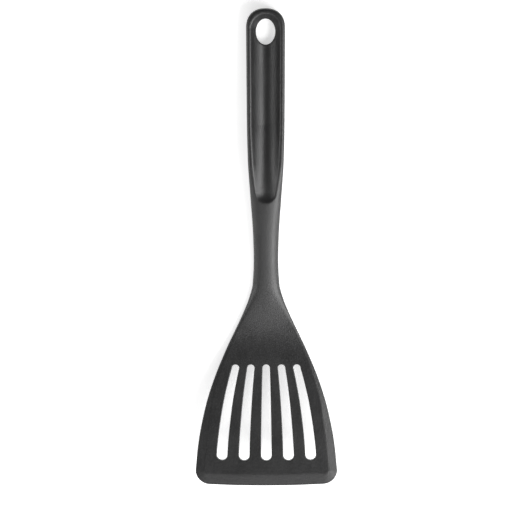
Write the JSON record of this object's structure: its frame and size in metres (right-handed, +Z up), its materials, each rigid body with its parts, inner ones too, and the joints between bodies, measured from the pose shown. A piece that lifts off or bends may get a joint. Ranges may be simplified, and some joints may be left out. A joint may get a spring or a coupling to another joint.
{
  "type": "slotted turner",
  "caption": "One-piece dark plastic kitchen turner with a flared slotted blade, bevelled edges, a cranked neck and a channelled handle with a hanging hole.",
  "frame": {"origin": "middle of the underside of the bounding box, on the surface the turner lies on", "axes": "+Y from the blade's tip to the handle's end, +Z up from the surface it lies on, +X to the right seen from above with the handle at the top"},
  "size_m": [0.0876, 0.3002, 0.0232],
  "materials": {
    "dark_plastic": "fine spark-eroded grain with a low satin sheen"
  },
  "bodies": {
    "root": {"blade": "dark_plastic", "neck": "dark_plastic", "handle": "dark_plastic"}
  },
  "joints": []
}
